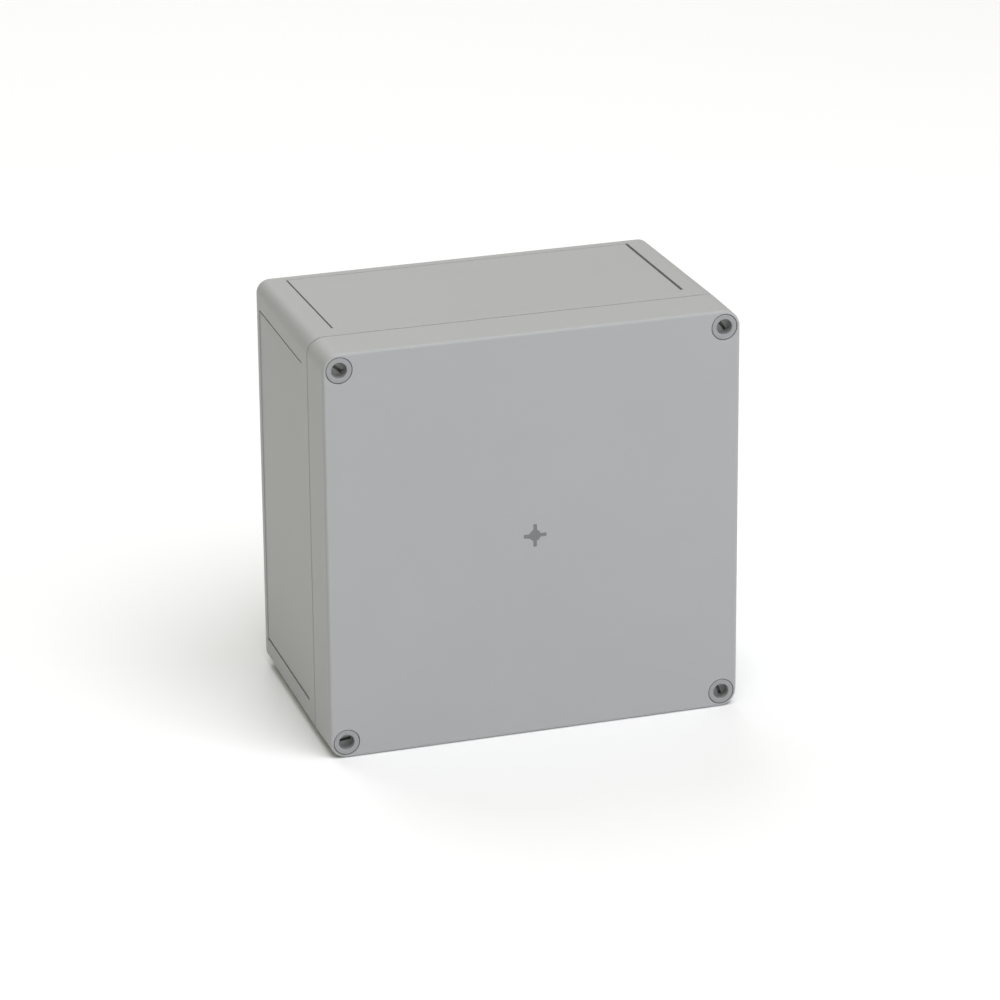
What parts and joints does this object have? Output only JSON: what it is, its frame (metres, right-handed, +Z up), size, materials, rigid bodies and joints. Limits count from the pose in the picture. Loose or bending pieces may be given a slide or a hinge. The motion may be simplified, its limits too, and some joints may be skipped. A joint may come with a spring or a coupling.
{
  "type": "electrical junction box",
  "caption": "Wall-mounting grey plastic junction box with a lift-off lid, flush captive corner screws, a foam seal, and screw terminals on a rail inside.",
  "frame": {"origin": "centre of the base's flat back face, on the wall", "axes": "+X to the right, +Z up, the lid faces -Y, and +Y points out of the back into the wall"},
  "size_m": [0.182, 0.111, 0.18],
  "materials": {
    "case_plastic": "light grey polycarbonate, fine moulded grain",
    "cover_screw_plastic": "light grey polyamide, satin",
    "ring_plastic": "black acetal, satin",
    "seal_foam": "dark closed-cell polyurethane foam",
    "rail_steel": "zinc-plated and passivated, satin",
    "screw_steel": "zinc-plated, bright",
    "cage_steel": "zinc-plated, satin",
    "bar_copper": "tinned copper, satin",
    "terminal_grey": "grey polyamide, satin",
    "terminal_blue": "blue polyamide, satin",
    "terminal_earth": "green and yellow polyamide, satin",
    "marker_white": "white polyamide, matt, blank"
  },
  "bodies": {
    "base": {"base_shell": "case_plastic", "mounting_rail": "rail_steel", "rail_screws": "screw_steel", "earth_foot": "bar_copper", "marker_tags": "marker_white", "end_plate": "terminal_grey", "end_stop_left": "terminal_grey", "end_stop_right": "terminal_grey", "end_stop_screws": "screw_steel", "housing_line_1": "terminal_grey", "housing_line_2": "terminal_grey", "housing_line_3": "terminal_grey", "housing_neutral": "terminal_blue", "housing_earth": "terminal_earth", "current_bar_line_1": "bar_copper", "current_bar_line_2": "bar_copper", "current_bar_line_3": "bar_copper", "current_bar_neutral": "bar_copper", "current_bar_earth": "bar_copper"},
    "lid": {"lid_shell": "case_plastic", "lid_seal": "seal_foam"},
    "screw_ring_top_left": {"screw_ring_top_left": "ring_plastic"},
    "cover_screw_top_left": {"cover_screw_top_left": "cover_screw_plastic"},
    "screw_ring_top_right": {"screw_ring_top_right": "ring_plastic"},
    "cover_screw_top_right": {"cover_screw_top_right": "cover_screw_plastic"},
    "screw_ring_bottom_left": {"screw_ring_bottom_left": "ring_plastic"},
    "cover_screw_bottom_left": {"cover_screw_bottom_left": "cover_screw_plastic"},
    "screw_ring_bottom_right": {"screw_ring_bottom_right": "ring_plastic"},
    "cover_screw_bottom_right": {"cover_screw_bottom_right": "cover_screw_plastic"},
    "clamp_screw_line_1_upper": {"clamp_screw_line_1_upper": "screw_steel"},
    "clamp_cage_line_1_upper": {"clamp_cage_line_1_upper": "cage_steel"},
    "clamp_screw_line_1_lower": {"clamp_screw_line_1_lower": "screw_steel"},
    "clamp_cage_line_1_lower": {"clamp_cage_line_1_lower": "cage_steel"},
    "clamp_screw_line_2_upper": {"clamp_screw_line_2_upper": "screw_steel"},
    "clamp_cage_line_2_upper": {"clamp_cage_line_2_upper": "cage_steel"},
    "clamp_screw_line_2_lower": {"clamp_screw_line_2_lower": "screw_steel"},
    "clamp_cage_line_2_lower": {"clamp_cage_line_2_lower": "cage_steel"},
    "clamp_screw_line_3_upper": {"clamp_screw_line_3_upper": "screw_steel"},
    "clamp_cage_line_3_upper": {"clamp_cage_line_3_upper": "cage_steel"},
    "clamp_screw_line_3_lower": {"clamp_screw_line_3_lower": "screw_steel"},
    "clamp_cage_line_3_lower": {"clamp_cage_line_3_lower": "cage_steel"},
    "clamp_screw_neutral_upper": {"clamp_screw_neutral_upper": "screw_steel"},
    "clamp_cage_neutral_upper": {"clamp_cage_neutral_upper": "cage_steel"},
    "clamp_screw_neutral_lower": {"clamp_screw_neutral_lower": "screw_steel"},
    "clamp_cage_neutral_lower": {"clamp_cage_neutral_lower": "cage_steel"},
    "clamp_screw_earth_upper": {"clamp_screw_earth_upper": "screw_steel"},
    "clamp_cage_earth_upper": {"clamp_cage_earth_upper": "cage_steel"},
    "clamp_screw_earth_lower": {"clamp_screw_earth_lower": "screw_steel"},
    "clamp_cage_earth_lower": {"clamp_cage_earth_lower": "cage_steel"}
  },
  "joints": [
    {"name": "lid_lift", "type": "slide", "parent": "base", "child": "lid", "axis": [0, -1, 0], "range_m": [0, 0.1]},
    {"name": "screw_rise_top_left", "type": "slide", "parent": "lid", "child": "screw_ring_top_left", "axis": [0, -1, 0], "range_m": [0, 0.0085]},
    {"name": "screw_turn_top_left", "type": "hinge", "parent": "screw_ring_top_left", "child": "cover_screw_top_left", "pos_m": [-0.0839, -0.111, 0.0829], "axis": [0, -1, 0], "range_deg": [0, 613]},
    {"name": "screw_rise_top_right", "type": "slide", "parent": "lid", "child": "screw_ring_top_right", "axis": [0, -1, 0], "range_m": [0, 0.0085]},
    {"name": "screw_turn_top_right", "type": "hinge", "parent": "screw_ring_top_right", "child": "cover_screw_top_right", "pos_m": [0.0839, -0.111, 0.0829], "axis": [0, -1, 0], "range_deg": [0, 613]},
    {"name": "screw_rise_bottom_left", "type": "slide", "parent": "lid", "child": "screw_ring_bottom_left", "axis": [0, -1, 0], "range_m": [0, 0.0085]},
    {"name": "screw_turn_bottom_left", "type": "hinge", "parent": "screw_ring_bottom_left", "child": "cover_screw_bottom_left", "pos_m": [-0.0839, -0.111, -0.0829], "axis": [0, -1, 0], "range_deg": [0, 613]},
    {"name": "screw_rise_bottom_right", "type": "slide", "parent": "lid", "child": "screw_ring_bottom_right", "axis": [0, -1, 0], "range_m": [0, 0.0085]},
    {"name": "screw_turn_bottom_right", "type": "hinge", "parent": "screw_ring_bottom_right", "child": "cover_screw_bottom_right", "pos_m": [0.0839, -0.111, -0.0829], "axis": [0, -1, 0], "range_deg": [0, 613]},
    {"name": "clamp_turn_line_1_upper", "type": "hinge", "parent": "base", "child": "clamp_screw_line_1_upper", "pos_m": [-0.0165, -0.0536, 0.013], "axis": [0, -1, 0], "range_deg": [-3343, 0]},
    {"name": "clamp_rise_line_1_upper", "type": "slide", "parent": "base", "child": "clamp_cage_line_1_upper", "axis": [0, -1, 0], "range_m": [0, 0.0065]},
    {"name": "clamp_turn_line_1_lower", "type": "hinge", "parent": "base", "child": "clamp_screw_line_1_lower", "pos_m": [-0.0165, -0.0536, -0.013], "axis": [0, -1, 0], "range_deg": [-3343, 0]},
    {"name": "clamp_rise_line_1_lower", "type": "slide", "parent": "base", "child": "clamp_cage_line_1_lower", "axis": [0, -1, 0], "range_m": [0, 0.0065]},
    {"name": "clamp_turn_line_2_upper", "type": "hinge", "parent": "base", "child": "clamp_screw_line_2_upper", "pos_m": [-0.0084, -0.0536, 0.013], "axis": [0, -1, 0], "range_deg": [-3343, 0]},
    {"name": "clamp_rise_line_2_upper", "type": "slide", "parent": "base", "child": "clamp_cage_line_2_upper", "axis": [0, -1, 0], "range_m": [0, 0.0065]},
    {"name": "clamp_turn_line_2_lower", "type": "hinge", "parent": "base", "child": "clamp_screw_line_2_lower", "pos_m": [-0.0084, -0.0536, -0.013], "axis": [0, -1, 0], "range_deg": [-3343, 0]},
    {"name": "clamp_rise_line_2_lower", "type": "slide", "parent": "base", "child": "clamp_cage_line_2_lower", "axis": [0, -1, 0], "range_m": [0, 0.0065]},
    {"name": "clamp_turn_line_3_upper", "type": "hinge", "parent": "base", "child": "clamp_screw_line_3_upper", "pos_m": [-0.0003, -0.0536, 0.013], "axis": [0, -1, 0], "range_deg": [-3343, 0]},
    {"name": "clamp_rise_line_3_upper", "type": "slide", "parent": "base", "child": "clamp_cage_line_3_upper", "axis": [0, -1, 0], "range_m": [0, 0.0065]},
    {"name": "clamp_turn_line_3_lower", "type": "hinge", "parent": "base", "child": "clamp_screw_line_3_lower", "pos_m": [-0.0003, -0.0536, -0.013], "axis": [0, -1, 0], "range_deg": [-3343, 0]},
    {"name": "clamp_rise_line_3_lower", "type": "slide", "parent": "base", "child": "clamp_cage_line_3_lower", "axis": [0, -1, 0], "range_m": [0, 0.0065]},
    {"name": "clamp_turn_neutral_upper", "type": "hinge", "parent": "base", "child": "clamp_screw_neutral_upper", "pos_m": [0.0078, -0.0536, 0.013], "axis": [0, -1, 0], "range_deg": [-3343, 0]},
    {"name": "clamp_rise_neutral_upper", "type": "slide", "parent": "base", "child": "clamp_cage_neutral_upper", "axis": [0, -1, 0], "range_m": [0, 0.0065]},
    {"name": "clamp_turn_neutral_lower", "type": "hinge", "parent": "base", "child": "clamp_screw_neutral_lower", "pos_m": [0.0078, -0.0536, -0.013], "axis": [0, -1, 0], "range_deg": [-3343, 0]},
    {"name": "clamp_rise_neutral_lower", "type": "slide", "parent": "base", "child": "clamp_cage_neutral_lower", "axis": [0, -1, 0], "range_m": [0, 0.0065]},
    {"name": "clamp_turn_earth_upper", "type": "hinge", "parent": "base", "child": "clamp_screw_earth_upper", "pos_m": [0.0159, -0.0536, 0.013], "axis": [0, -1, 0], "range_deg": [-3343, 0]},
    {"name": "clamp_rise_earth_upper", "type": "slide", "parent": "base", "child": "clamp_cage_earth_upper", "axis": [0, -1, 0], "range_m": [0, 0.0065]},
    {"name": "clamp_turn_earth_lower", "type": "hinge", "parent": "base", "child": "clamp_screw_earth_lower", "pos_m": [0.0159, -0.0536, -0.013], "axis": [0, -1, 0], "range_deg": [-3343, 0]},
    {"name": "clamp_rise_earth_lower", "type": "slide", "parent": "base", "child": "clamp_cage_earth_lower", "axis": [0, -1, 0], "range_m": [0, 0.0065]}
  ],
  "couplings": [
    {"joint": "screw_turn_top_left", "follows": "screw_rise_top_left", "rad_per_m": 1256.6},
    {"joint": "screw_turn_top_right", "follows": "screw_rise_top_right", "rad_per_m": 1256.6},
    {"joint": "screw_turn_bottom_left", "follows": "screw_rise_bottom_left", "rad_per_m": 1256.6},
    {"joint": "screw_turn_bottom_right", "follows": "screw_rise_bottom_right", "rad_per_m": 1256.6},
    {"joint": "clamp_turn_line_1_upper", "follows": "clamp_rise_line_1_upper", "rad_per_m": -8976},
    {"joint": "clamp_turn_line_1_lower", "follows": "clamp_rise_line_1_lower", "rad_per_m": -8976},
    {"joint": "clamp_turn_line_2_upper", "follows": "clamp_rise_line_2_upper", "rad_per_m": -8976},
    {"joint": "clamp_turn_line_2_lower", "follows": "clamp_rise_line_2_lower", "rad_per_m": -8976},
    {"joint": "clamp_turn_line_3_upper", "follows": "clamp_rise_line_3_upper", "rad_per_m": -8976},
    {"joint": "clamp_turn_line_3_lower", "follows": "clamp_rise_line_3_lower", "rad_per_m": -8976},
    {"joint": "clamp_turn_neutral_upper", "follows": "clamp_rise_neutral_upper", "rad_per_m": -8976},
    {"joint": "clamp_turn_neutral_lower", "follows": "clamp_rise_neutral_lower", "rad_per_m": -8976},
    {"joint": "clamp_turn_earth_upper", "follows": "clamp_rise_earth_upper", "rad_per_m": -8976},
    {"joint": "clamp_turn_earth_lower", "follows": "clamp_rise_earth_lower", "rad_per_m": -8976}
  ]
}
